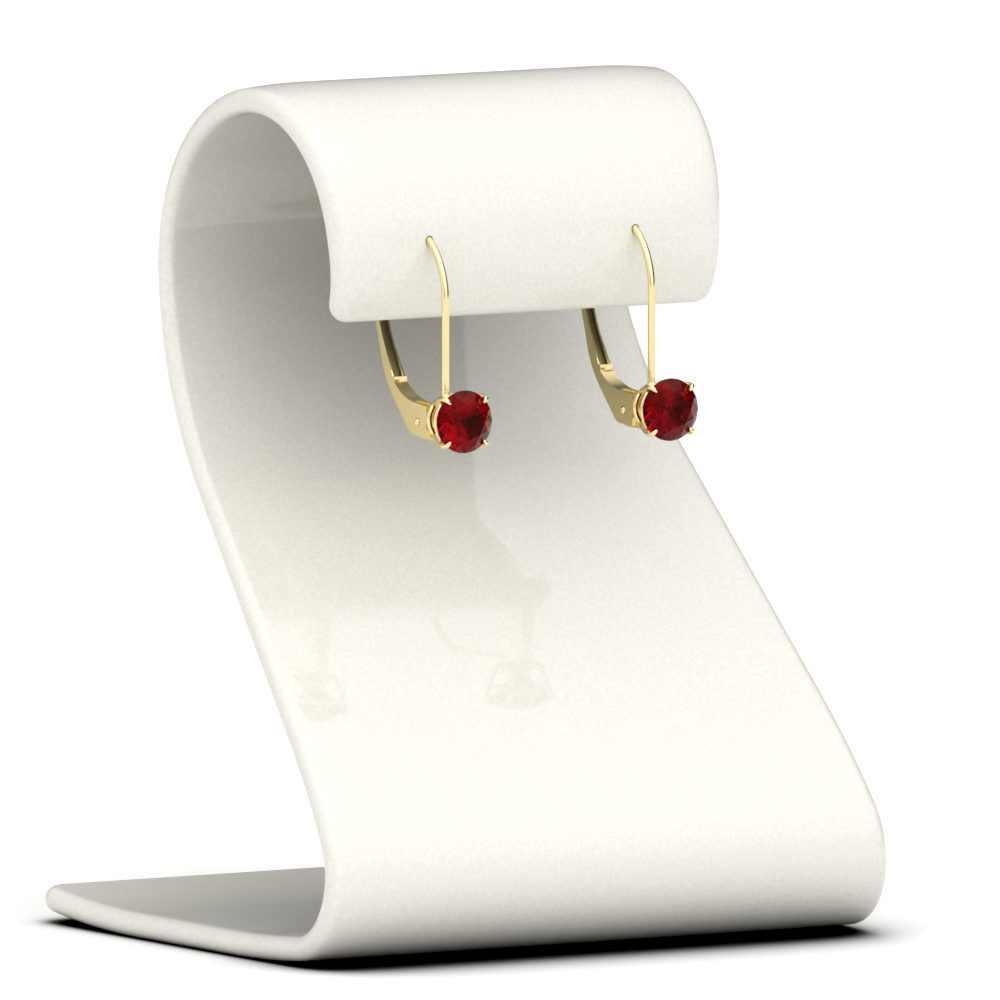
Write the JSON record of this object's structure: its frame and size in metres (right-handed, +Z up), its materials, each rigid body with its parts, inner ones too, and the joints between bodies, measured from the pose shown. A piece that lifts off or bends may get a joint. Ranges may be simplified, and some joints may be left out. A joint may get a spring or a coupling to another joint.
{
  "type": "pair of leverback earrings on a display stand",
  "caption": "Matched gold leverback earrings with claw-set round red stones and hinged lever backs, hung by their wires through the lip of a white bent display stand.",
  "frame": {"origin": "middle of the whole object's footprint, on the surface the stand rests on", "axes": "+Z up, -Y towards the viewer's side that the stones face, +X from the left earring to the right one"},
  "size_m": [0.0576, 0.0428, 0.0683],
  "materials": {
    "stand": "white acrylic sheet, polished, with a fine orange peel",
    "gold": null,
    "stone": "faceted dark red garnet, polished"
  },
  "bodies": {
    "stand_with_earrings": {"stand": "stand", "left_ear_hook": "gold", "left_stone": "stone", "left_hinge_pin": "gold", "right_ear_hook": "gold", "right_stone": "stone", "right_hinge_pin": "gold"},
    "left_lever": {"left_lever": "gold"},
    "right_lever": {"right_lever": "gold"}
  },
  "joints": [
    {"name": "left_lever_hinge", "type": "hinge", "parent": "stand_with_earrings", "child": "left_lever", "pos_m": [-0.0094, -0.0076, 0.04191], "axis": [-1, 0, 0], "range_deg": [0, 60]},
    {"name": "right_lever_hinge", "type": "hinge", "parent": "stand_with_earrings", "child": "right_lever", "pos_m": [0.0094, -0.0076, 0.04191], "axis": [-1, 0, 0], "range_deg": [0, 60]}
  ]
}
